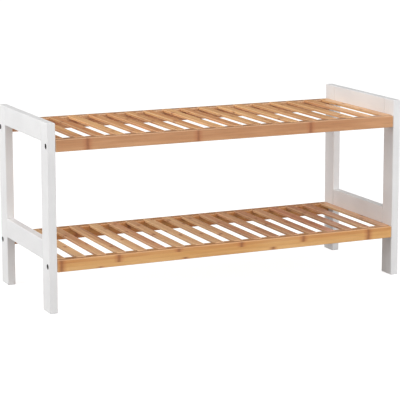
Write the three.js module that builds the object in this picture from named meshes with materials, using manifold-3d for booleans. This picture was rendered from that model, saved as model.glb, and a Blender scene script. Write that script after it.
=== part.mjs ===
// Two-tier slatted entryway bench, also used as a shoe rack.
// Two painted end frames carry two bamboo shelves of narrow slats.
// Millimetres, +Z up, X across the width, Y from front (-) to back (+), feet on Z = 0.
import * as THREE from 'three';
import { mergeVertices } from 'three/addons/utils/BufferGeometryUtils.js';
import Module from 'manifold-3d';

const wasm = await Module();
wasm.setup();

// ---- driving dimensions -------------------------------------------------

const WIDTH = 700;
const DEPTH = 265;
const HEIGHT = 335;
const FIT_GAP = 0.3; // clearance left between neighbouring pieces

// end frames
const LEG_THICKNESS = 15; // along X
const LEG_DEPTH = 35; // along Y
const SIDE_RAIL_HEIGHT = 35;
const LOWER_SIDE_RAIL_BOTTOM = 91;
const FRAME_EDGE_RADIUS = 1.2;
const DOWEL_DIAMETER = 8;
const DOWEL_LENGTH = 12; // the part that enters the leg
const DOWEL_SPACING = 17; // between the two dowels of one joint

// shelves
const SHELF_RAIL_DEPTH = 18; // along Y
const SHELF_RAIL_HEIGHT = 22;
const UPPER_SHELF_RAIL_BOTTOM = 284;
const LOWER_SHELF_RAIL_BOTTOM = 72.5;
const RAIL_EDGE_RADIUS = 1.2;
const SLAT_COUNT = 18;
const SLAT_WIDTH = 17.5;
const SLAT_THICKNESS = 4.4;
const SLAT_WANDER = 1.2; // most that a slat sits off its even place
const SLAT_PROUD = 0.8; // how far a slat stands above the rails it sits in
const SLAT_EDGE_RADIUS = 0.8;
const HOUSING_DEPTH = 9; // how far a slat's end reaches over a rail
const END_SLAT_GAP = 0.5; // between an end slat and the frame beside it

// bolts with barrel nuts
const BOLT_FROM_EDGE = SHELF_RAIL_DEPTH / 2; // bolt axis to the leg's outer edge, along Y
const BOLT_HEIGHT_IN_RAIL = 10; // bolt axis above the shelf rail's underside
const HEAD_DIAMETER = 9;
const HEAD_HEIGHT = 4.5;
const HEAD_RECESS = 1.2; // how far the head sits below the leg's outer face
const SOCKET_ACROSS_FLATS = 4;
const SOCKET_DEPTH = 2.5;
const SHANK_DIAMETER = 5;
const SHANK_END_IN_RAIL = 36; // from the leg's inner face
const NUT_DIAMETER = 9;
const NUT_LENGTH = 15;
const NUT_FROM_RAIL_END = 28;

// worked out from the above
const INNER_WIDTH = WIDTH - 2 * LEG_THICKNESS;
const LEG_X = (WIDTH - LEG_THICKNESS) / 2;
const LEG_Y = (DEPTH - LEG_DEPTH) / 2;
const SHELF_RAIL_Y = (DEPTH - SHELF_RAIL_DEPTH) / 2;
const SIDE_RAIL_LENGTH = DEPTH - 2 * LEG_DEPTH - 2 * FIT_GAP;
const SLAT_PITCH = (INNER_WIDTH - 2 * END_SLAT_GAP - SLAT_WIDTH) / (SLAT_COUNT - 1);
const SLAT_LENGTH = DEPTH - 2 * (SHELF_RAIL_DEPTH - HOUSING_DEPTH) - 2 * FIT_GAP;

const SIDES = [['left', -1], ['right', 1]];
const ENDS = [['front', -1], ['rear', 1]];
const SHELVES = [['upper', UPPER_SHELF_RAIL_BOTTOM], ['lower', LOWER_SHELF_RAIL_BOTTOM]];
const SIDE_RAILS = [
  ['upper', HEIGHT - SIDE_RAIL_HEIGHT / 2],
  ['lower', LOWER_SIDE_RAIL_BOTTOM + SIDE_RAIL_HEIGHT / 2],
];

// ---- materials ----------------------------------------------------------

const satinWhite = () => new THREE.MeshStandardMaterial({ color: 0xeeecea, roughness: 0.42 });
const reddishBamboo = () => new THREE.MeshStandardMaterial({ color: 0xbd834e, roughness: 0.55 });
const yellowBamboo = () => new THREE.MeshStandardMaterial({ color: 0xcf9f67, roughness: 0.55 });
const darkSteel = () => new THREE.MeshStandardMaterial({ color: 0x5a564f, roughness: 0.4, metalness: 0.9 });

// ---- solids -------------------------------------------------------------

// A closed three.js geometry as a solid that can be joined and cut.
function solid(geometry) {
  const bare = geometry.index ? geometry.toNonIndexed() : geometry.clone();
  bare.deleteAttribute('normal');
  bare.deleteAttribute('uv');
  const merged = mergeVertices(bare, 1e-4);
  return new wasm.Manifold(new wasm.Mesh({
    numProp: 3,
    vertProperties: new Float32Array(merged.attributes.position.array),
    triVerts: new Uint32Array(merged.index.array),
  }));
}

// The solid back as a geometry for a mesh.
function geometryOf(body) {
  const { vertProperties, triVerts } = body.getMesh();
  const geometry = new THREE.BufferGeometry();
  geometry.setAttribute('position', new THREE.BufferAttribute(new Float32Array(vertProperties), 3));
  geometry.setIndex(new THREE.BufferAttribute(new Uint32Array(triVerts), 1));
  geometry.computeVertexNormals();
  return geometry;
}

// A rectangle with rounded corners, centred on the origin.
function roundedRectangle(width, height, radius) {
  const x = width / 2 - radius;
  const y = height / 2 - radius;
  const shape = new THREE.Shape();
  shape.absarc(x, -y, radius, -Math.PI / 2, 0);
  shape.absarc(x, y, radius, 0, Math.PI / 2);
  shape.absarc(-x, y, radius, Math.PI / 2, Math.PI);
  shape.absarc(-x, -y, radius, Math.PI, Math.PI * 1.5);
  return shape;
}

// A straight bar of rounded section, centred on the origin and running along Z.
function bar(width, height, length, radius) {
  const geometry = new THREE.ExtrudeGeometry(roundedRectangle(width, height, radius), {
    depth: length,
    bevelEnabled: false,
    curveSegments: 2,
  });
  return geometry.translate(0, 0, -length / 2);
}

// Bars whose long side runs along Z, Y or X; the sizes given are those along X, Y and Z.
const barAlongZ = (x, y, z, radius) => bar(x, y, z, radius);
const barAlongY = (x, y, z, radius) => bar(x, z, y, radius).rotateX(Math.PI / 2);
const barAlongX = (x, y, z, radius) => bar(z, y, x, radius).rotateY(Math.PI / 2);

// A round pin along X, Y or Z, centred on the origin.
function pin(axis, diameter, length, facets = 24) {
  const geometry = new THREE.CylinderGeometry(diameter / 2, diameter / 2, length, facets);
  if (axis === 'x') geometry.rotateZ(Math.PI / 2);
  if (axis === 'z') geometry.rotateX(Math.PI / 2);
  return geometry;
}

const at = (geometry, x, y, z) => solid(geometry.translate(x, y, z));

const bench = new THREE.Group();

function add(name, body, material) {
  const mesh = new THREE.Mesh(geometryOf(body), material);
  mesh.name = name;
  bench.add(mesh);
}

// ---- end frames ---------------------------------------------------------

const dowelHeights = (railMiddle) => [-1, 1].map((sign) => railMiddle + (sign * DOWEL_SPACING) / 2);

// A full-height leg with dowel holes for its two side rails and bored for its two bolts.
function leg(side, end) {
  const x = side * LEG_X;
  const y = end * LEG_Y;
  const innerEdge = end * (DEPTH / 2 - LEG_DEPTH);
  const outerFace = (side * WIDTH) / 2;
  let body = at(barAlongZ(LEG_THICKNESS, LEG_DEPTH, HEIGHT, FRAME_EDGE_RADIUS), x, y, HEIGHT / 2);
  const holeLength = DOWEL_LENGTH + 2 * FIT_GAP;
  for (const [, railMiddle] of SIDE_RAILS) {
    for (const z of dowelHeights(railMiddle)) {
      const hole = pin('y', DOWEL_DIAMETER + 2 * FIT_GAP, 2 * holeLength, 16);
      body = body.subtract(at(hole, x, innerEdge, z));
    }
  }
  const boltY = end * (DEPTH / 2 - BOLT_FROM_EDGE);
  const recess = 2 * (HEAD_HEIGHT + HEAD_RECESS + FIT_GAP);
  for (const [, railBottom] of SHELVES) {
    const z = railBottom + BOLT_HEIGHT_IN_RAIL;
    body = body.subtract(at(pin('x', SHANK_DIAMETER + 2 * FIT_GAP, 4 * LEG_THICKNESS), outerFace, boltY, z));
    body = body.subtract(at(pin('x', HEAD_DIAMETER + 2 * FIT_GAP, recess), outerFace, boltY, z));
  }
  return body;
}

// A side rail between two legs, with its two glued dowels standing out of each end.
function sideRail(side, railMiddle) {
  const x = side * LEG_X;
  const plank = barAlongY(LEG_THICKNESS, SIDE_RAIL_LENGTH, SIDE_RAIL_HEIGHT, FRAME_EDGE_RADIUS);
  let body = at(plank, x, 0, railMiddle);
  const dowelLength = SIDE_RAIL_LENGTH + 2 * DOWEL_LENGTH;
  for (const z of dowelHeights(railMiddle)) {
    body = body.add(at(pin('y', DOWEL_DIAMETER, dowelLength, 16), x, 0, z));
  }
  return body;
}

for (const [sideName, side] of SIDES) {
  for (const [endName, end] of ENDS) {
    add(`${sideName}_${endName}_leg`, leg(side, end), satinWhite());
  }
  for (const [levelName, railMiddle] of SIDE_RAILS) {
    add(`${sideName}_${levelName}_side_rail`, sideRail(side, railMiddle), satinWhite());
  }
}

// ---- shelves ------------------------------------------------------------

// Where a slat sits. The slats between the two end ones are set by eye, so they wander a little.
function slatX(index, level) {
  const even = -INNER_WIDTH / 2 + END_SLAT_GAP + SLAT_WIDTH / 2 + index * SLAT_PITCH;
  const isEndSlat = index === 0 || index === SLAT_COUNT - 1;
  return isEndSlat ? even : even + SLAT_WANDER * Math.sin(2 * index * index + level);
}

// A long rail with a housing for the end of each slat and a bolt and nut bore at each end.
function shelfRail(end, railBottom, level) {
  const y = end * SHELF_RAIL_Y;
  const length = INNER_WIDTH - 2 * FIT_GAP;
  const railTop = railBottom + SHELF_RAIL_HEIGHT;
  const plank = barAlongX(length, SHELF_RAIL_DEPTH, SHELF_RAIL_HEIGHT, RAIL_EDGE_RADIUS);
  let body = at(plank, 0, y, railBottom + SHELF_RAIL_HEIGHT / 2);

  const innerFace = end * (DEPTH / 2 - SHELF_RAIL_DEPTH);
  const housingFloor = railTop + SLAT_PROUD - SLAT_THICKNESS - FIT_GAP;
  const housingHeight = 2 * SLAT_THICKNESS;
  for (let index = 0; index < SLAT_COUNT; index += 1) {
    const housing = new THREE.BoxGeometry(SLAT_WIDTH + 2 * FIT_GAP, 2 * HOUSING_DEPTH, housingHeight);
    body = body.subtract(at(housing, slatX(index, level), innerFace, housingFloor + housingHeight / 2));
  }

  const boltY = end * (DEPTH / 2 - BOLT_FROM_EDGE);
  const boltZ = railBottom + BOLT_HEIGHT_IN_RAIL;
  const nutTop = boltZ + NUT_LENGTH / 2 + FIT_GAP;
  for (const [, side] of SIDES) {
    const railEnd = (side * INNER_WIDTH) / 2;
    const bore = pin('x', SHANK_DIAMETER + 2 * FIT_GAP, 2 * (SHANK_END_IN_RAIL + 2 * FIT_GAP));
    body = body.subtract(at(bore, railEnd, boltY, boltZ));
    const nutLength = 2 * (nutTop - railBottom);
    const nutBore = pin('z', NUT_DIAMETER + 2 * FIT_GAP, nutLength);
    body = body.subtract(at(nutBore, railEnd - side * NUT_FROM_RAIL_END, boltY, railBottom));
  }
  return body;
}

function slat(index, railBottom, level) {
  const top = railBottom + SHELF_RAIL_HEIGHT + SLAT_PROUD;
  const strip = barAlongY(SLAT_WIDTH, SLAT_LENGTH, SLAT_THICKNESS, SLAT_EDGE_RADIUS);
  return at(strip, slatX(index, level), 0, top - SLAT_THICKNESS / 2);
}

for (const [level, [levelName, railBottom]] of SHELVES.entries()) {
  const railMaterial = levelName === 'upper' ? reddishBamboo : yellowBamboo;
  for (const [endName, end] of ENDS) {
    add(`${levelName}_${endName}_shelf_rail`, shelfRail(end, railBottom, level), railMaterial());
  }
  for (let index = 0; index < SLAT_COUNT; index += 1) {
    const number = String(index + 1).padStart(2, '0');
    add(`${levelName}_slat_${number}`, slat(index, railBottom, level), reddishBamboo());
  }
}

// ---- bolts --------------------------------------------------------------

// A socket-head bolt through a leg into a rail's end, with the barrel nut threaded on it.
function bolt(side, end, railBottom) {
  const y = end * (DEPTH / 2 - BOLT_FROM_EDGE);
  const z = railBottom + BOLT_HEIGHT_IN_RAIL;
  const headOuter = WIDTH / 2 - HEAD_RECESS;
  const headX = side * (headOuter - HEAD_HEIGHT / 2);
  let body = at(pin('x', HEAD_DIAMETER, HEAD_HEIGHT), headX, y, z);
  const shankTip = INNER_WIDTH / 2 - SHANK_END_IN_RAIL;
  const shankStart = headOuter - HEAD_HEIGHT / 2;
  const shankX = (side * (shankStart + shankTip)) / 2;
  body = body.add(at(pin('x', SHANK_DIAMETER, shankStart - shankTip, 16), shankX, y, z));
  const nutX = side * (INNER_WIDTH / 2 - NUT_FROM_RAIL_END);
  body = body.add(at(pin('z', NUT_DIAMETER, NUT_LENGTH), nutX, y, z));
  const socket = pin('x', SOCKET_ACROSS_FLATS / Math.cos(Math.PI / 6), 2 * SOCKET_DEPTH, 6);
  return body.subtract(at(socket, side * headOuter, y, z));
}

for (const [sideName, side] of SIDES) {
  for (const [endName, end] of ENDS) {
    for (const [levelName, railBottom] of SHELVES) {
      add(`${sideName}_${endName}_${levelName}_bolt`, bolt(side, end, railBottom), darkSteel());
    }
  }
}

export default bench;
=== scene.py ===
"""Two-tier slatted entryway bench: two painted end frames and two bamboo shelves, bolted together.

Each piece is built in the box of the CAD node that it replaces. Metres, +Z up, X across the width, Y from
the front (-) to the back (+), feet on Z = 0.
"""

import math
import random

import bmesh
import bpy
from mathutils import Matrix, Vector, noise


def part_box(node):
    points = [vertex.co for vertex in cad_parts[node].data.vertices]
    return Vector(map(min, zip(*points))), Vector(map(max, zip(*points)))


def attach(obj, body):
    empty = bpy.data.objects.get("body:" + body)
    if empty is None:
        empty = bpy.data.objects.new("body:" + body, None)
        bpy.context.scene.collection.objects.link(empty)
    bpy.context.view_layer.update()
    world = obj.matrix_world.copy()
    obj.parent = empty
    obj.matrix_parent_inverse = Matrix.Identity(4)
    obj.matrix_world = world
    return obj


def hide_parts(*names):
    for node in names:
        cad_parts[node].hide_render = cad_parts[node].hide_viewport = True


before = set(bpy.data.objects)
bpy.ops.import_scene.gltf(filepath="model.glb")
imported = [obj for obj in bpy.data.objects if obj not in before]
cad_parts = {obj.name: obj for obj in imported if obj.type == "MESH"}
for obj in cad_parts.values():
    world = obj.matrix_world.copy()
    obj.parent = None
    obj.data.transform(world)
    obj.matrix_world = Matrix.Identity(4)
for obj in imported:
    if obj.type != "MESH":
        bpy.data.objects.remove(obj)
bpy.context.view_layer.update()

MM = 0.001
BODY = "root"
SIDES = (("left", -1), ("right", 1))
ENDS = (("front", -1), ("rear", 1))
LEVELS = ("upper", "lower")
SLATS = range(1, 19)

X, Y, Z = range(3)

# the axes that run across, through and along a piece's grain
ALONG_X = (Z, Y, X)
ALONG_Y = (X, Z, Y)
ALONG_Z = (X, Y, Z)

# edge rounding: a radius and a number of segments
PAINTED_EDGE = (1.5 * MM, 4)
RAIL_EDGE = (1.8 * MM, 5)
SLAT_EDGE = (0.8 * MM, 3)

# fasteners
HEAD_DIAMETER = 9 * MM
HEAD_HEIGHT = 4.5 * MM
SHANK_DIAMETER = 5 * MM
SOCKET_ACROSS_FLATS = 4 * MM
SOCKET_DEPTH = 2.5 * MM
NUT_DIAMETER = 9 * MM
NUT_FROM_RAIL_END = 28 * MM
SLOT_WIDTH = 1.2 * MM
SLOT_DEPTH = 1.2 * MM
DOWEL_DIAMETER = 8 * MM
DOWEL_SPACING = 17 * MM

# their holes, with the gap that is left between two pieces
GAP = 0.3 * MM
HEAD_SUNK = 1.2 * MM
RECESS_DEPTH = HEAD_HEIGHT + HEAD_SUNK + GAP
DOWEL_BORE_DEPTH = 12.6 * MM
BOLT_BORE_DEPTH = 36.6 * MM
HEAD_BORE_RADIUS = HEAD_DIAMETER / 2 + GAP
SHANK_BORE_RADIUS = SHANK_DIAMETER / 2 + GAP
NUT_BORE_RADIUS = NUT_DIAMETER / 2 + GAP
DOWEL_BORE_RADIUS = DOWEL_DIAMETER / 2 + GAP

# how far the mouths of the holes are rounded over, in a leg and in a shelf rail
LEG_MOUTH = 0.5 * MM
RAIL_MOUTH = 0.4 * MM

# how far a cutting tool reaches past the face that it opens
OVERSHOOT = 2 * MM

# ---------------------------------------------------------------------------
# Node trees
# ---------------------------------------------------------------------------

# where a Mix node's colour sockets are, since it has others of the same names
MIX_FACTOR, MIX_A, MIX_B, MIX_RESULT = 0, 6, 7, 2


def rgb(red, green, blue):
    return (red, green, blue, 1.0)


class Graph:
    """A material's node tree, with a short call for each kind of node used here."""

    def __init__(self, name):
        self.material = bpy.data.materials.new(name)
        self.material.use_nodes = True
        self.nodes = self.material.node_tree.nodes
        self.links = self.material.node_tree.links
        self.nodes.clear()
        self.shader = self.nodes.new("ShaderNodeBsdfPrincipled")
        output = self.nodes.new("ShaderNodeOutputMaterial")
        self.links.new(self.shader.outputs["BSDF"], output.inputs["Surface"])

    def feed(self, socket, value):
        """Link a socket to another node's output, or set it to a plain value."""
        if isinstance(value, bpy.types.NodeSocket):
            self.links.new(value, socket)
        elif value is not None:
            socket.default_value = value

    def attribute(self, name, output="Fac"):
        node = self.nodes.new("ShaderNodeAttribute")
        node.attribute_name = name
        return node.outputs[output]

    def math(self, operation, a, b=None, c=None):
        node = self.nodes.new("ShaderNodeMath")
        node.operation = operation
        for socket, value in zip(node.inputs, (a, b, c)):
            self.feed(socket, value)
        return node.outputs["Value"]

    def add(self, *values):
        total = values[0]
        for value in values[1:]:
            total = self.math("ADD", total, value)
        return total

    def times(self, a, b):
        return self.math("MULTIPLY", a, b)

    def split(self, vector):
        node = self.nodes.new("ShaderNodeSeparateXYZ")
        self.feed(node.inputs["Vector"], vector)
        return node.outputs["X"], node.outputs["Y"], node.outputs["Z"]

    def join(self, x, y, z):
        node = self.nodes.new("ShaderNodeCombineXYZ")
        for socket, value in zip(node.inputs, (x, y, z)):
            self.feed(socket, value)
        return node.outputs["Vector"]

    def stretched(self, parts, lengths):
        """A vector that changes by one over the lengths given, for noise drawn out along the grain."""
        return self.join(*(self.math("DIVIDE", part, length) for part, length in zip(parts, lengths)))

    def noise(self, vector, scale=1.0, detail=2.0, roughness=0.5):
        node = self.nodes.new("ShaderNodeTexNoise")
        self.feed(node.inputs["Vector"], vector)
        node.inputs["Scale"].default_value = scale
        node.inputs["Detail"].default_value = detail
        node.inputs["Roughness"].default_value = roughness
        return node.outputs["Fac"]

    def random(self, x, y, seed):
        """A number from 0 to 1 that differs for each x and y."""
        node = self.nodes.new("ShaderNodeTexWhiteNoise")
        self.feed(node.inputs["Vector"], self.join(x, y, seed))
        return node.outputs["Value"]

    def ramp(self, value, low, high, out_low=0.0, out_high=1.0):
        """A smooth step from out_low where the value is low to out_high where it is high."""
        node = self.nodes.new("ShaderNodeMapRange")
        node.interpolation_type = "SMOOTHSTEP"
        node.clamp = True
        self.feed(node.inputs["Value"], value)
        node.inputs["From Min"].default_value = low
        node.inputs["From Max"].default_value = high
        node.inputs["To Min"].default_value = out_low
        node.inputs["To Max"].default_value = out_high
        return node.outputs["Result"]

    def mix(self, factor, a, b):
        """Colour a where the factor is 0, and b where it is 1."""
        node = self.nodes.new("ShaderNodeMix")
        node.data_type = "RGBA"
        self.feed(node.inputs[MIX_FACTOR], factor)
        self.feed(node.inputs[MIX_A], a)
        self.feed(node.inputs[MIX_B], b)
        return node.outputs[MIX_RESULT]

    def stain(self, colour, factor, amount, towards):
        """The colour moved towards another by the amount, where the factor is 1."""
        return self.mix(self.times(factor, amount), colour, towards)

    def bump(self, height, strength, distance):
        node = self.nodes.new("ShaderNodeBump")
        node.inputs["Strength"].default_value = strength
        node.inputs["Distance"].default_value = distance
        self.feed(node.inputs["Height"], height)
        self.feed(self.shader.inputs["Normal"], node.outputs["Normal"])

    def near_edge(self, reach):
        """1 on the edges of a piece's box, falling to 0 within the reach."""
        place = self.split(self.attribute("place", "Vector"))
        half = self.split(self.attribute("half", "Vector"))
        near = []
        for part, size in zip(place, half):
            gap = self.math("SUBTRACT", size, self.math("ABSOLUTE", part))
            near.append(self.ramp(gap, reach, 0.0))
        pairs = [self.times(near[i], near[j]) for i, j in ((X, Y), (Y, Z), (X, Z))]
        return self.math("MINIMUM", self.add(*pairs), 1.0)


# ---------------------------------------------------------------------------
# Materials
#
# They read the mesh attributes that make_piece writes:
#   grain  the place across, through and along the grain, shifted for each piece
#   place  the place from the middle of the piece's box
#   half   half the size of that box
#   tone_and_painted_light  higher on a darker piece, from its own tone and from painted shade
#   bare_and_shaded  1 where the paint stops and bare wood is darkened as painted shade
# ---------------------------------------------------------------------------

# bamboo is glued up from strips of the stem, three to a rail's height and three to a slat's width
RAIL_STRIP = 22 * MM / 3
SLAT_STRIP = 17.5 * MM / 3
LAYER_DEPTH = 30 * MM
GLUE_HALF_WIDTH = 0.16 * MM

# the stem's joints on the slats: their spacing, and as shares of it, how far on they are in the next strip
# and how much of their place is chance
RING_SPACING = 330 * MM
RING_STEP = 0.62
RING_JITTER = 0.4

# the wavering of a joint's line
WAVER_SCALE = 150.0
RING_WAVER = 2.6 * MM
JOINT_WAVER = 3.0 * MM

# the stem's joints on the rails: the place along the rail, and the heights that the joint runs between, from
# the rail's middle, all in millimetres
UPPER_RAIL_JOINTS = ((-276, -11, 11), (-66, -11, 11), (160, -11, 11))
LOWER_RAIL_JOINTS = (
    (-327, -11, 11),
    (-255, -11, -7),
    (-220, -4, 11),
    (-105, 3, 11),
    (-92, -11, -6),
    (20, 0, 11),
    (84, -11, -4),
    (147, -2, 11),
    (285, -11, 11),
)
JOINT_FADE = 1.2

# the size of each kind of mark, across, through and along the grain
FIBRE_SIZE = (0.8 * MM, 0.8 * MM, 38 * MM)
FLECK_SIZE = (0.32 * MM, 0.32 * MM, 5 * MM)
DRIFT_SIZE = (6 * MM, 6 * MM, 110 * MM)
PATCH_SIZE = (60 * MM, 60 * MM, 200 * MM)
PAINTED_GRAIN_SIZE = (2.0 * MM, 2.0 * MM, 60 * MM)
TURNING_MARK_SIZE = (3 * MM, 3 * MM, 0.25 * MM)

# what keeps one set of random numbers apart from another
SHADE_SEED = 3.7
RED_SEED = 11.3
RING_SEED = 5.1

FIBRE_BROWN = rgb(0.26, 0.12, 0.04)
FLECK_BROWN = rgb(0.18, 0.08, 0.025)
JOINT_GLOW = rgb(0.47, 0.140, 0.042)
JOINT_BROWN = rgb(0.27, 0.080, 0.025)
JOINT_LINE = rgb(0.12, 0.045, 0.014)
GLUE_BROWN = rgb(0.22, 0.10, 0.035)
# a pale colour that the bamboo's edges are moved towards: a painted highlight where light catches the
# rounded edges
PAINTED_EDGE_HIGHLIGHT = rgb(0.94, 0.70, 0.46)

PAINT_DULL = rgb(0.810, 0.804, 0.804)
PAINT_BRIGHT = rgb(0.856, 0.850, 0.848)
PAINT_OVER_GRAIN = rgb(0.66, 0.645, 0.63)
PAINT_WORN = rgb(0.70, 0.64, 0.56)
# bare wood darkened almost to black: painted shade on the walls of the bolt recesses
SHADED_BARE_WOOD = rgb(0.060, 0.036, 0.030)

STEEL_BROWN = rgb(0.040, 0.030, 0.028)
STEEL_BLACK = rgb(0.014, 0.011, 0.011)


def strips(g, parts, width):
    """The numbers of a point's strip and of its layer of strips, and a factor that is 1 on a glue line."""
    across, through, _ = parts
    place = g.add(g.math("DIVIDE", across, width), 0.5)
    strip = g.math("FLOOR", place)
    layer = g.math("FLOOR", g.math("DIVIDE", through, LAYER_DEPTH))
    from_middle = g.math("ABSOLUTE", g.math("SUBTRACT", g.math("FRACT", place), 0.5))
    glue = g.ramp(from_middle, 0.5 - GLUE_HALF_WIDTH / width, 0.5)
    return strip, layer, glue


def stem_rings(g, parts, strip):
    """The distance to the strip's nearest joint, whose place is partly random."""
    along = parts[2]
    waver = g.times(g.noise(g.join(*parts), WAVER_SCALE), RING_WAVER)
    turns = g.math("DIVIDE", g.add(along, g.times(strip, RING_STEP * RING_SPACING), waver), RING_SPACING)
    chance = g.random(g.math("FLOOR", turns), strip, RING_SEED)
    centre = g.math("MULTIPLY_ADD", chance, RING_JITTER, 0.5 - RING_JITTER / 2)
    from_centre = g.math("ABSOLUTE", g.math("SUBTRACT", g.math("FRACT", turns), centre))
    return g.times(from_centre, RING_SPACING)


def placed_joints(g, parts, joints):
    """The distance to the nearest of the joints listed, which fade out past the heights given for them."""
    across, _, along = parts
    waver = g.times(g.noise(g.join(*parts), WAVER_SCALE), JOINT_WAVER)
    place = g.add(along, waver, -JOINT_WAVER / 2)
    out_of_reach = 30 * MM
    nearest = 1.0
    for middle, low, high in joints:
        distance = g.math("ABSOLUTE", g.math("SUBTRACT", place, middle * MM))
        below = g.ramp(across, (low - JOINT_FADE) * MM, (low + JOINT_FADE) * MM, out_of_reach, 0.0)
        above = g.ramp(across, (high + JOINT_FADE) * MM, (high - JOINT_FADE) * MM, out_of_reach, 0.0)
        nearest = g.math("MINIMUM", nearest, g.add(distance, below, above))
    return nearest


def bamboo(name, strip_width, joints, pale, deep, red):
    """Laminated bamboo under thin lacquer, from pale to deep, and redder where strip, drift and tone say so.
    The joints are a list for placed_joints, or None for random ones on each strip."""
    g = Graph(name)
    parts = g.split(g.attribute("grain", "Vector"))
    tone_and_painted_light = g.attribute("tone_and_painted_light")
    strip, layer, glue = strips(g, parts, strip_width)
    strip_shade = g.random(strip, layer, SHADE_SEED)
    strip_red = g.random(strip, layer, RED_SEED)

    if joints:
        from_ring = placed_joints(g, parts, joints)
    else:
        from_ring = stem_rings(g, parts, strip)
    ring_glow = g.ramp(from_ring, 12 * MM, 2.0 * MM)
    ring = g.ramp(from_ring, 5.0 * MM, 0.8 * MM)
    ring_line = g.ramp(from_ring, 1.1 * MM, 0.2 * MM)

    fibres = g.noise(g.stretched(parts, FIBRE_SIZE), detail=3.0, roughness=0.6)
    flecks = g.noise(g.stretched(parts, FLECK_SIZE))
    drift = g.noise(g.stretched(parts, DRIFT_SIZE))
    patches = g.noise(g.stretched(parts, PATCH_SIZE), detail=1.0)
    fibre_dark = g.ramp(fibres, 0.40, 0.72)
    fleck_dark = g.ramp(flecks, 0.60, 0.76)

    shade = g.add(g.times(strip_shade, 0.5), drift, g.times(patches, 1.1), tone_and_painted_light, -1.3)
    colour = g.mix(g.ramp(shade, 0.0, 1.0), pale, deep)
    redness = g.add(strip_red, g.times(drift, 0.4), g.times(tone_and_painted_light, 0.7))
    stains = (
        (g.ramp(redness, 0.85, 1.65), 0.75, red),
        (fibre_dark, 0.22, FIBRE_BROWN),
        (fleck_dark, 0.20, FLECK_BROWN),
        (ring_glow, 0.52, JOINT_GLOW),
        (ring, 0.50, JOINT_BROWN),
        (ring_line, 0.16, JOINT_LINE),
        (glue, 0.26, GLUE_BROWN),
        # painted highlight along the edges of each piece
        (g.near_edge(2.2 * MM), 0.42, PAINTED_EDGE_HIGHLIGHT),
    )
    for factor, amount, towards in stains:
        colour = g.stain(colour, factor, amount, towards)
    g.feed(g.shader.inputs["Base Color"], colour)

    roughness = g.add(0.23, g.times(fibres, 0.16), g.times(ring, 0.10))
    g.feed(g.shader.inputs["Roughness"], roughness)
    ridges = g.add(g.times(fibres, 0.6), g.times(glue, -0.7), g.times(ring_line, -0.7))
    ridges = g.add(ridges, g.times(fleck_dark, -0.3))
    g.bump(ridges, 0.4, 0.10 * MM)
    return g.material


def white_paint():
    """Satin paint over planed wood, whose grain shows faintly. It is worn on the edges, and where the
    bare_and_shaded attribute is 1 it gives way to bare wood darkened almost to black, as painted shade."""
    g = Graph("white_paint")
    parts = g.split(g.attribute("grain", "Vector"))
    grain = g.join(*parts)
    bare_and_shaded = g.attribute("bare_and_shaded")
    wood = g.noise(g.stretched(parts, PAINTED_GRAIN_SIZE), detail=3.0, roughness=0.55)
    spray = g.noise(grain, 520.0)
    cloud = g.noise(grain, 13.0, 3.0)
    patch = g.noise(grain, 70.0, 3.0)
    worn = g.times(g.ramp(patch, 0.50, 0.72), g.near_edge(1.4 * MM))
    colour = g.mix(g.ramp(cloud, 0.3, 0.7), PAINT_DULL, PAINT_BRIGHT)
    colour = g.stain(colour, g.ramp(wood, 0.50, 0.75), 0.10, PAINT_OVER_GRAIN)
    colour = g.stain(colour, worn, 0.30, PAINT_WORN)
    # painted shade: the bolt recesses' bare walls darkened almost to black
    colour = g.stain(colour, bare_and_shaded, 0.95, SHADED_BARE_WOOD)
    g.feed(g.shader.inputs["Base Color"], colour)
    g.feed(g.shader.inputs["Roughness"], g.add(0.36, g.times(cloud, 0.14), g.times(bare_and_shaded, 0.3)))
    g.bump(g.add(g.times(wood, 0.7), g.times(spray, 0.3)), 0.35, 0.10 * MM)
    return g.material


def dark_steel():
    """Plated steel with fine turning marks and uneven colour."""
    g = Graph("dark_steel")
    grain = g.attribute("grain", "Vector")
    marks = g.noise(g.stretched(g.split(grain), TURNING_MARK_SIZE), detail=3.0)
    stain = g.noise(grain, 320.0, 3.0)
    colour = g.mix(g.ramp(stain, 0.35, 0.70), STEEL_BROWN, STEEL_BLACK)
    g.feed(g.shader.inputs["Base Color"], colour)
    g.shader.inputs["Metallic"].default_value = 0.9
    g.feed(g.shader.inputs["Roughness"], g.ramp(marks, 0.3, 0.7, 0.34, 0.52))
    g.bump(marks, 0.3, 0.04 * MM)
    return g.material


def studio_paper(name, grey, glow):
    """Matt paper of one grey, with a glow for paper that is lit from behind."""
    g = Graph(name)
    g.shader.inputs["Base Color"].default_value = rgb(grey, grey, grey)
    g.shader.inputs["Roughness"].default_value = 0.9
    g.shader.inputs["Specular IOR Level"].default_value = 0.0
    g.shader.inputs["Emission Color"].default_value = rgb(1.0, 1.0, 1.0)
    g.shader.inputs["Emission Strength"].default_value = glow
    return g.material


PAINT = white_paint()
STEEL = dark_steel()
BAMBOO = {
    "upper_rail": bamboo(
        "bamboo_upper_rail",
        RAIL_STRIP,
        UPPER_RAIL_JOINTS,
        pale=rgb(0.73, 0.390, 0.192),
        deep=rgb(0.54, 0.240, 0.096),
        red=rgb(0.57, 0.214, 0.080),
    ),
    "lower_rail": bamboo(
        "bamboo_lower_rail",
        RAIL_STRIP,
        LOWER_RAIL_JOINTS,
        pale=rgb(0.85, 0.498, 0.205),
        deep=rgb(0.71, 0.355, 0.108),
        red=rgb(0.60, 0.215, 0.062),
    ),
    "upper_slat": bamboo(
        "bamboo_upper_slat",
        SLAT_STRIP,
        None,
        pale=rgb(0.94, 0.520, 0.212),
        deep=rgb(0.61, 0.260, 0.088),
        red=rgb(0.72, 0.262, 0.088),
    ),
    "lower_slat": bamboo(
        "bamboo_lower_slat",
        SLAT_STRIP,
        None,
        pale=rgb(0.94, 0.570, 0.280),
        deep=rgb(0.56, 0.250, 0.115),
        red=rgb(0.68, 0.250, 0.125),
    ),
}

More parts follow.
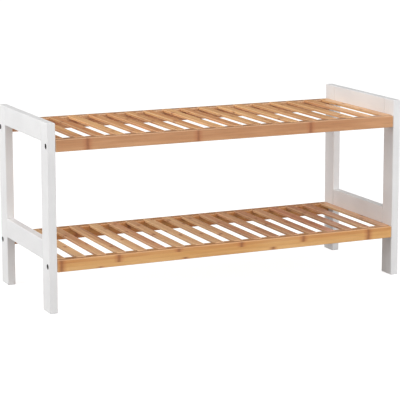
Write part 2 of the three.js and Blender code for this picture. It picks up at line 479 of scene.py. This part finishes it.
# ---------------------------------------------------------------------------
# Shapes
# ---------------------------------------------------------------------------

ROUND_SIDES = 32
BORE_SIDES = 24


def plain_box(low, high):
    bm = bmesh.new()
    bmesh.ops.create_cube(bm, size=1.0)
    scale = Matrix.Diagonal((*(high - low), 1.0))
    bmesh.ops.transform(bm, matrix=Matrix.Translation((low + high) / 2) @ scale, verts=bm.verts)
    return bm


def rounded_bar(low, high, edge):
    """A box with all its edges rounded."""
    radius, segments = edge
    bm = plain_box(low, high)
    bmesh.ops.bevel(
        bm,
        geom=list(bm.edges),
        offset=radius,
        segments=segments,
        profile=0.5,
        affect="EDGES",
        clamp_overlap=True,
    )
    return bm


def slice_along(bm, axis, low, high, step):
    """Cut a shape into short lengths, so that it can bend."""
    count = round((high - low) / step)
    normal = Vector([1.0 if k == axis else 0.0 for k in range(3)])
    for i in range(1, count):
        point = normal * (low + (high - low) * i / count)
        bmesh.ops.bisect_plane(bm, geom=[*bm.verts, *bm.edges, *bm.faces], plane_co=point, plane_no=normal)


def polar(axis, centre, distance, radius, angle):
    """A point at a distance along an axis from the centre, and at a radius and angle round the axis."""
    point = Vector(centre)
    point[axis] += distance
    point[(axis + 1) % 3] += radius * math.cos(angle)
    point[(axis + 2) % 3] += radius * math.sin(angle)
    return point


def ring_points(axis, centre, distance, radius, count, flats=0):
    """Points on a circle, or with flats on a polygon of that many sides, with the radius at its corners."""
    points = []
    for i in range(count):
        angle = math.tau * i / count
        reach = radius
        if flats:
            half = math.pi / flats
            reach = radius * math.cos(half) / math.cos(angle % (2 * half) - half)
        points.append(polar(axis, centre, distance, reach, angle))
    return points


def loft(rings):
    """A closed skin through rings of equally many points."""
    bm = bmesh.new()
    loops = [[bm.verts.new(point) for point in ring] for ring in rings]
    for first, second in zip(loops, loops[1:]):
        for i in range(len(first)):
            j = (i + 1) % len(first)
            bm.faces.new((first[i], first[j], second[j], second[i]))
    bm.faces.new(loops[0][::-1])
    bm.faces.new(loops[-1])
    bmesh.ops.recalc_face_normals(bm, faces=bm.faces)
    return bm


def turned(axis, centre, profile, sides=ROUND_SIDES):
    """A round solid. The profile lists distances along the axis from the centre, each with a radius."""
    return loft([ring_points(axis, centre, distance, radius, sides) for distance, radius in profile])


def chamfered_pin(axis, centre, low, high, radius, chamfer, sides):
    """A round pin with chamfered ends, between two distances along the axis."""
    slim = radius - chamfer
    profile = [(low, slim), (low + chamfer, radius), (high - chamfer, radius), (high, slim)]
    return turned(axis, centre, profile, sides)


def bore(axis, centre, depth, radius):
    """A tool for a plain round hole. The centre is on the face that it opens, and it reaches as far out of
    that face as into it."""
    return turned(axis, centre, [(-depth, radius), (depth, radius)], BORE_SIDES)


def mouth(radius, softness, steps=4):
    """The profile of a bore's mouth, rounded over just below the face at distance 0."""
    start = 0.02 * MM
    profile = [(-OVERSHOOT, radius + softness)]
    for i in range(steps + 1):
        turn = math.pi / 2 * i / steps
        depth = start + softness * (1 - math.cos(turn))
        profile.append((depth, radius + softness * (1 - math.sin(turn))))
    return profile


# ---------------------------------------------------------------------------
# Meshes and objects
# ---------------------------------------------------------------------------

MIDDLE_TONE = 0.5
SHARP_ANGLE = math.radians(35)


def mesh_from(name, bm):
    data = bpy.data.meshes.new(name)
    bm.to_mesh(data)
    bm.free()
    return data


def new_object(name, data):
    made = bpy.data.objects.new(name, data)
    bpy.context.scene.collection.objects.link(made)
    return made


def merged(shapes):
    """Several separate shapes as one."""
    whole = bmesh.new()
    for shape in shapes:
        data = mesh_from("part", shape)
        whole.from_mesh(data)
        bpy.data.meshes.remove(data)
    return whole


def loose_object(bm):
    """A shape as an object of its own, for a boolean."""
    bmesh.ops.recalc_face_normals(bm, faces=bm.faces)
    return new_object("loose", mesh_from("loose", bm))


def combined(body, tool, operation="DIFFERENCE"):
    """The body with a tool cut out of it, or with UNION joined on."""
    base = loose_object(body)
    other = loose_object(tool)
    boolean = base.modifiers.new("combine", "BOOLEAN")
    boolean.operation = operation
    boolean.solver = "EXACT"
    boolean.object = other
    bpy.context.view_layer.update()
    made = bpy.data.meshes.new_from_object(base.evaluated_get(bpy.context.evaluated_depsgraph_get()))
    result = bmesh.new()
    result.from_mesh(made)
    for loose in (base, other):
        data = loose.data
        bpy.data.objects.remove(loose)
        bpy.data.meshes.remove(data)
    bpy.data.meshes.remove(made)
    return result


def write_numbers(data, name, values):
    """Give a mesh a new attribute, with a number at each point."""
    layer = data.attributes.new(name, "FLOAT", "POINT")
    layer.data.foreach_set("value", values)


def write_vectors(data, name, vectors):
    """Give a mesh a new attribute, with a vector at each point."""
    layer = data.attributes.new(name, "FLOAT_VECTOR", "POINT")
    layer.data.foreach_set("vector", [number for vector in vectors for number in vector])


def nowhere(point):
    """The bare_and_shaded function of a piece that is finished all over, with no painted shade in recesses.
    """
    return 0.0


def make_piece(node, bm, material, grain_axes, shift, tone_and_painted_light=MIDDLE_TONE, bare_and_shaded=nowhere):
    """The finished piece for a CAD node, with the attributes that its material reads. The bare_and_shaded
    function gives the bare_and_shaded attribute at a point: bare wood darkened as painted shade."""
    low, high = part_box(node)
    centre = (low + high) / 2
    bmesh.ops.remove_doubles(bm, verts=bm.verts, dist=1e-6)
    bmesh.ops.recalc_face_normals(bm, faces=bm.faces)
    data = mesh_from(node, bm)
    places = [vertex.co - centre for vertex in data.vertices]
    write_vectors(data, "grain", [Vector([place[k] for k in grain_axes]) + shift for place in places])
    write_vectors(data, "place", places)
    write_vectors(data, "half", [(high - low) / 2] * len(places))
    write_numbers(data, "tone_and_painted_light", [tone_and_painted_light] * len(places))
    write_numbers(data, "bare_and_shaded", [bare_and_shaded(vertex.co) for vertex in data.vertices])
    data.shade_smooth()
    data.set_sharp_from_angle(angle=SHARP_ANGLE)
    data.materials.append(material)
    piece = new_object(node + "_finish", data)
    normals = piece.modifiers.new("flat faces", "WEIGHTED_NORMAL")
    normals.keep_sharp = True
    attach(piece, BODY)
    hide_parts(node)
    return piece


# ---------------------------------------------------------------------------
# End frames
# ---------------------------------------------------------------------------

DOWEL_CHAMFER = 0.8 * MM

# the depth below a leg's face at which a recess's walls stop being painted white and turn to bare wood
# darkened as painted shade
BARE_AND_SHADED_FROM = 0.4 * MM

# how many metres of grain the pieces are cut from, each at a random place
GRAIN_REACH = 3.0


def random_shift(rng):
    return Vector([rng.uniform(0, GRAIN_REACH) for _ in range(3)])


def bolt_line(node):
    """Where a bolt's axis runs: the X of its head's outer face, and its Y and Z."""
    low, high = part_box(node)
    outer = low.x if abs(low.x) > abs(high.x) else high.x
    return outer, (low.y + high.y) / 2, (low.z + high.z) / 2


def dowel_places(side, level):
    """Where a side rail's dowels run: their X and Z."""
    low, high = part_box(f"{side}_{level}_side_rail")
    middle = (low + high) / 2
    return [(middle.x, middle.z + sign * DOWEL_SPACING / 2) for sign in (-1, 1)]


def bolt_hole(side_sign, face, y, z, thickness):
    """A tool for the recessed hole through a leg, with its mouth on the leg's outer face."""
    profile = mouth(HEAD_BORE_RADIUS, LEG_MOUTH)
    profile.append((RECESS_DEPTH, HEAD_BORE_RADIUS))
    profile.append((RECESS_DEPTH, SHANK_BORE_RADIUS))
    profile.append((thickness + OVERSHOOT, SHANK_BORE_RADIUS))
    inwards = [(-side_sign * distance, radius) for distance, radius in profile]
    return turned(X, (face, y, z), inwards)


def bare_and_shaded_recesses(face, bolt_places):
    """The bare_and_shaded function of a leg: 1 on the walls and floors of its bolt recesses, inside their
    mouths, where bare wood is darkened as painted shade.
    """

    def bare_and_shaded(point):
        depth = abs(point.x - face)
        nearest = min(math.hypot(point.y - y, point.z - z) for y, z in bolt_places)
        in_recess = BARE_AND_SHADED_FROM < depth < RECESS_DEPTH + GAP and nearest < HEAD_BORE_RADIUS + GAP
        return 1.0 if in_recess else 0.0

    return bare_and_shaded


def add_leg(side, side_sign, end, end_sign):
    node = f"{side}_{end}_leg"
    low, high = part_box(node)
    outer_face = high.x if side_sign > 0 else low.x
    inner_edge = low.y if end_sign > 0 else high.y
    bolt_places = [bolt_line(f"{side}_{end}_{level}_bolt")[1:] for level in LEVELS]
    holes = [bolt_hole(side_sign, outer_face, y, z, high.x - low.x) for y, z in bolt_places]
    for level in LEVELS:
        for x, z in dowel_places(side, level):
            holes.append(bore(Y, (x, inner_edge, z), DOWEL_BORE_DEPTH, DOWEL_BORE_RADIUS))
    body = combined(rounded_bar(low, high, PAINTED_EDGE), merged(holes))
    rng = random.Random(node)
    bare_and_shaded = bare_and_shaded_recesses(outer_face, bolt_places)
    make_piece(node, body, PAINT, ALONG_Z, random_shift(rng), bare_and_shaded=bare_and_shaded)


def add_side_rail(side, level):
    """A plank between two legs, with the ends of its dowels standing out of it."""
    node = f"{side}_{level}_side_rail"
    low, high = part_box(node)
    _, leg_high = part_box(f"{side}_front_leg")
    plank_end = -leg_high.y - GAP
    plank_low = Vector((low.x, -plank_end, low.z))
    plank_high = Vector((high.x, plank_end, high.z))
    radius = DOWEL_DIAMETER / 2
    dowels = []
    for x, z in dowel_places(side, level):
        dowels.append(chamfered_pin(Y, (x, 0, z), low.y, high.y, radius, DOWEL_CHAMFER, BORE_SIDES))
    body = combined(rounded_bar(plank_low, plank_high, PAINTED_EDGE), merged(dowels), "UNION")
    rng = random.Random(node)
    make_piece(node, body, PAINT, ALONG_Y, random_shift(rng))


# ---------------------------------------------------------------------------
# Shelves
# ---------------------------------------------------------------------------

# where in the grain each rail is cut from
RAIL_SHIFTS = {
    "upper_front_shelf_rail": Vector((0, 0.4, 0)),
    "upper_rear_shelf_rail": Vector((0, 1.4, 0.14)),
    "lower_front_shelf_rail": Vector((0, 2.1, 0)),
    "lower_rear_shelf_rail": Vector((0, 0.9, -0.12)),
}
# painted shade: the lower rear rail, whose inner face lies in shade under the slats, is darkened
REAR_RAIL_TONES_WITH_PAINTED_SHADE = {"upper": MIDDLE_TONE, "lower": 1.15}

# the slices that a slat is bent in, and how far at most it wanders sideways and sags
SLAT_SLICE = 20 * MM
SLAT_WANDER = 0.18 * MM
SLAT_SAG = 0.12 * MM
STRIPS_TO_CUT_FROM = 400


def housing(slat_node, rail_low, rail_high, end_sign):
    """A tool for the pocket that a slat's end lies in, open on the rail's top and inner face."""
    low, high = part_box(slat_node)
    low.x -= GAP
    high.x += GAP
    low.z -= GAP
    high.z += OVERSHOOT
    if end_sign < 0:
        low.y -= GAP
        high.y = rail_high.y + OVERSHOOT
    else:
        high.y += GAP
        low.y = rail_low.y - OVERSHOOT
    return plain_box(low, high)


def nut_line(rail_low, rail_high, side_sign):
    """The X of the rail's end on that side, and the X of the barrel nut's axis."""
    rail_end = rail_high.x if side_sign > 0 else rail_low.x
    return rail_end, rail_end - side_sign * NUT_FROM_RAIL_END


def nut_bore(x, y, rail_bottom, nut_top):
    """A tool for the bore that a barrel nut sits in, with its mouth on the rail's underside."""
    profile = mouth(NUT_BORE_RADIUS, RAIL_MOUTH)
    profile.append((nut_top + GAP - rail_bottom, NUT_BORE_RADIUS))
    return turned(Z, (x, y, rail_bottom), profile)


def add_shelf_rail(level, end, end_sign):
    node = f"{level}_{end}_shelf_rail"
    low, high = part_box(node)
    pockets = [housing(f"{level}_slat_{number:02d}", low, high, end_sign) for number in SLATS]
    nut_bores = []
    bolt_bores = []
    for side, side_sign in SIDES:
        bolt = f"{side}_{end}_{level}_bolt"
        _, y, z = bolt_line(bolt)
        rail_end, nut_x = nut_line(low, high, side_sign)
        nut_bores.append(nut_bore(nut_x, y, low.z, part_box(bolt)[1].z))
        bolt_bores.append(bore(X, (rail_end, y, z), BOLT_BORE_DEPTH, SHANK_BORE_RADIUS))
    body = combined(rounded_bar(low, high, RAIL_EDGE), merged(pockets + nut_bores))
    body = combined(body, merged(bolt_bores))
    tone_and_painted_light = REAR_RAIL_TONES_WITH_PAINTED_SHADE[level] if end == "rear" else MIDDLE_TONE
    make_piece(node, body, BAMBOO[level + "_rail"], ALONG_X, RAIL_SHIFTS[node], tone_and_painted_light)


def bend_slat(body, number):
    """Wander and sag by noise along the length, which differs from slat to slat."""
    for vertex in body.verts:
        seed = Vector((number * 7.1, vertex.co.y * 9.0, 5.0))
        vertex.co.x += SLAT_WANDER * noise.noise(seed)
        vertex.co.z -= SLAT_SAG * abs(noise.noise(seed + Vector((0, 0, 50))))


def slat_tone_and_painted_light(level, number):
    """How much darker a slat is for its place: the lower shelf is paler at the left and darkens to the right
    as painted light and shade, the upper one is palest in its middle third, and the last slat of each is
    paler than its neighbours as a painted sheen."""
    third = len(SLATS) // 3
    tone_and_painted_light = 0.0
    if level == "lower":
        # painted light and shade: the lower shelf paler at the left and darker towards the right
        tone_and_painted_light = 0.62 * number / len(SLATS) - 0.42
    elif number <= third:
        tone_and_painted_light = 0.12
    elif number <= 2 * third:
        tone_and_painted_light = -0.16
    # painted sheen: the last slat of each shelf made paler
    if number == len(SLATS):
        tone_and_painted_light -= 0.30
    return tone_and_painted_light


def add_slat(level, number):
    node = f"{level}_slat_{number:02d}"
    low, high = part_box(node)
    body = rounded_bar(low, high, SLAT_EDGE)
    slice_along(body, Y, low.y, high.y, SLAT_SLICE)
    bend_slat(body, number)
    rng = random.Random(node)
    across = rng.randrange(STRIPS_TO_CUT_FROM) * SLAT_STRIP
    shift = Vector((across, rng.uniform(0, GRAIN_REACH), rng.uniform(0, GRAIN_REACH)))
    tone_and_painted_light = rng.uniform(0.20, 0.68) + slat_tone_and_painted_light(level, number)
    make_piece(node, body, BAMBOO[level + "_slat"], ALONG_Y, shift, tone_and_painted_light)


# ---------------------------------------------------------------------------
# Bolts, each with its barrel nut
# ---------------------------------------------------------------------------

HEXAGON = 6
CIRCLE = 0
BOLT_SIDES = 48
HEAD_ROUNDING = 0.6 * MM
NECK_FILLET = 0.4 * MM
TIP_CHAMFER = 0.8 * MM
NUT_SIDES = 40
NUT_CHAMFER = 0.5 * MM


def socket_head_bolt(side_sign, outer, y, z, tip):
    """A cap head with a hexagonal socket, and its shank, lofted from the socket's floor out to the head's
    face, over the head and in to the tip. Each step is a distance in from the face, a radius and a shape."""
    head = HEAD_DIAMETER / 2
    shank = SHANK_DIAMETER / 2
    corner = SOCKET_ACROSS_FLATS / 2 / math.cos(math.pi / HEXAGON)
    length = abs(outer - tip)
    steps = [
        (SOCKET_DEPTH + 0.5 * MM, corner * 0.1, HEXAGON),
        (SOCKET_DEPTH, corner * 0.92, HEXAGON),
        (SOCKET_DEPTH - 0.1 * MM, corner, HEXAGON),
        (0.25 * MM, corner, HEXAGON),
        (0.0, corner * 1.12, CIRCLE),
        (0.0, head - HEAD_ROUNDING, CIRCLE),
        (HEAD_ROUNDING * 0.3, head - HEAD_ROUNDING * 0.3, CIRCLE),
        (HEAD_ROUNDING, head, CIRCLE),
        (HEAD_HEIGHT, head, CIRCLE),
        (HEAD_HEIGHT, shank + NECK_FILLET, CIRCLE),
        (HEAD_HEIGHT + NECK_FILLET, shank, CIRCLE),
        (length - TIP_CHAMFER, shank, CIRCLE),
        (length, shank - TIP_CHAMFER, CIRCLE),
    ]
    centre = (outer, y, z)
    rings = [ring_points(X, centre, -side_sign * d, radius, BOLT_SIDES, flats) for d, radius, flats in steps]
    return loft(rings)


def barrel_nut(x, y, low, high):
    """A short round nut across the bolt, with a screwdriver slot in its lower end."""
    body = chamfered_pin(Z, (x, y, 0), low, high, NUT_DIAMETER / 2, NUT_CHAMFER, NUT_SIDES)
    slot_low = Vector((x - SLOT_WIDTH / 2, y - NUT_DIAMETER, low - OVERSHOOT))
    slot_high = Vector((x + SLOT_WIDTH / 2, y + NUT_DIAMETER, low + SLOT_DEPTH))
    return combined(body, plain_box(slot_low, slot_high))


def add_bolt(side, side_sign, end, level):
    node = f"{side}_{end}_{level}_bolt"
    low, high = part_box(node)
    outer, y, z = bolt_line(node)
    tip = high.x if side_sign < 0 else low.x
    rail_low, rail_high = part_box(f"{level}_{end}_shelf_rail")
    _, nut_x = nut_line(rail_low, rail_high, side_sign)
    bolt = socket_head_bolt(side_sign, outer, y, z, tip)
    nut = barrel_nut(nut_x, y, low.z, high.z)
    body = combined(bolt, nut, "UNION")
    rng = random.Random(node)
    make_piece(node, body, STEEL, ALONG_X, random_shift(rng))


# ---------------------------------------------------------------------------
# Assembly
# ---------------------------------------------------------------------------

for side_name, side_way in SIDES:
    for end_name, end_way in ENDS:
        add_leg(side_name, side_way, end_name, end_way)
        for level_name in LEVELS:
            add_bolt(side_name, side_way, end_name, level_name)
    for level_name in LEVELS:
        add_side_rail(side_name, level_name)

for level_name in LEVELS:
    for end_name, end_way in ENDS:
        add_shelf_rail(level_name, end_name, end_way)
    for slat_number in SLATS:
        add_slat(level_name, slat_number)

# ---------------------------------------------------------------------------
# Studio
# ---------------------------------------------------------------------------

FLOOR_HALF = 30.0
DOME_RADIUS = 28.0

# the point in the bench that the softboxes face
LIT_POINT = Vector((0, 0, 0.2))

# the direction of the dark curtain, and the cosines of the angles from it where the curtain starts and where
# it is darkest
CURTAIN = Vector((0.42, 0.90, 0.15))
CURTAIN_EDGE = 0.45
CURTAIN_HEART = 0.88

# the camera's place, its heading from +Y towards +X, and how far it looks down, in radians
CAMERA_PLACE = (-1.327, -2.899, 0.780)
CAMERA_HEADING = 0.4372
CAMERA_DOWN = 0.1722


def show_to_camera_only(thing):
    """Leave a thing out of the light and the reflections."""
    thing.visible_diffuse = False
    thing.visible_glossy = False
    thing.visible_transmission = False
    thing.visible_shadow = False


def add_floor(name, height, material):
    bm = bmesh.new()
    half = FLOOR_HALF
    corners = [(-half, -half), (half, -half), (half, half), (-half, half)]
    bm.faces.new([bm.verts.new((x, y, height)) for x, y in corners])
    data = mesh_from(name, bm)
    data.materials.append(material)
    floor = new_object(name, data)
    return floor


def add_floors():
    """The pale floor that is seen, and under it the grey one whose bounced light reaches the bench."""
    seen = add_floor("floor", 0.0, studio_paper("floor_paper", 0.35, 0.86))
    show_to_camera_only(seen)
    bounce = add_floor("bounce_floor", -1 * MM, studio_paper("bounce_paper", 0.50, 0.0))
    bounce.visible_camera = False


def add_backdrop():
    """A white dome round the studio, which only the camera sees."""
    bm = bmesh.new()
    bmesh.ops.create_uvsphere(bm, u_segments=64, v_segments=32, radius=DOME_RADIUS)
    data = mesh_from("backdrop", bm)
    data.materials.append(studio_paper("backdrop_paper", 0.0, 1.0))
    dome = new_object("backdrop", data)
    show_to_camera_only(dome)


def add_world(strength, curtain_strength):
    """Even soft light, with a darker curtain low behind the bench so that the lacquer doesn't wash out."""
    world = bpy.data.worlds.new("studio")
    world.use_nodes = True
    nodes = world.node_tree.nodes
    links = world.node_tree.links
    direction = nodes.new("ShaderNodeTexCoord")
    towards = nodes.new("ShaderNodeVectorMath")
    towards.operation = "DOT_PRODUCT"
    towards.inputs[1].default_value = CURTAIN.normalized()
    fade = nodes.new("ShaderNodeMapRange")
    fade.interpolation_type = "SMOOTHSTEP"
    fade.inputs["From Min"].default_value = CURTAIN_EDGE
    fade.inputs["From Max"].default_value = CURTAIN_HEART
    fade.inputs["To Min"].default_value = strength
    fade.inputs["To Max"].default_value = curtain_strength
    links.new(direction.outputs["Generated"], towards.inputs[0])
    links.new(towards.outputs["Value"], fade.inputs["Value"])
    links.new(fade.outputs["Result"], nodes["Background"].inputs["Strength"])
    nodes["Background"].inputs["Color"].default_value = rgb(1.0, 1.0, 1.0)
    bpy.context.scene.world = world


def add_softbox(name, towards, distance, width, strength):
    """A round softbox in the direction given from the point that it faces, which it lights at the strength
    given, in watts a square metre."""
    light = bpy.data.lights.new(name, "AREA")
    light.shape = "DISK"
    light.size = width
    half = width / 2
    share = half * half / (half * half + distance * distance)
    light.energy = strength / share * math.pi * half * half
    lamp = new_object(name, light)
    lamp.location = LIT_POINT + Vector(towards).normalized() * distance
    lamp.rotation_euler = Vector(towards).to_track_quat("Z", "Y").to_euler()
    lamp.visible_camera = False


def add_camera():
    """A long lens at the front left, a little above the top."""
    camera = bpy.data.cameras.new("camera")
    camera.sensor_width = 36.0
    camera.lens = 156.0
    camera.shift_x = -0.0372
    camera.shift_y = -0.10
    camera.clip_start = 0.1
    camera.clip_end = 80.0
    body = new_object("camera", camera)
    level = math.cos(CAMERA_DOWN)
    ahead_x = math.sin(CAMERA_HEADING) * level
    ahead_y = math.cos(CAMERA_HEADING) * level
    ahead = Vector((ahead_x, ahead_y, -math.sin(CAMERA_DOWN)))
    body.location = CAMERA_PLACE
    body.rotation_mode = "QUATERNION"
    body.rotation_quaternion = ahead.to_track_quat("-Z", "Y")
    bpy.context.scene.camera = body


add_floors()
add_backdrop()
add_world(0.69, 0.15)
add_softbox("key", (-0.57, 0.08, 0.36), 3.0, 2.8, 1.50)
add_softbox("fill", (0.50, -1.0, 0.24), 3.2, 3.4, 1.22)
add_camera()
bpy.context.scene.view_settings.view_transform = "Standard"
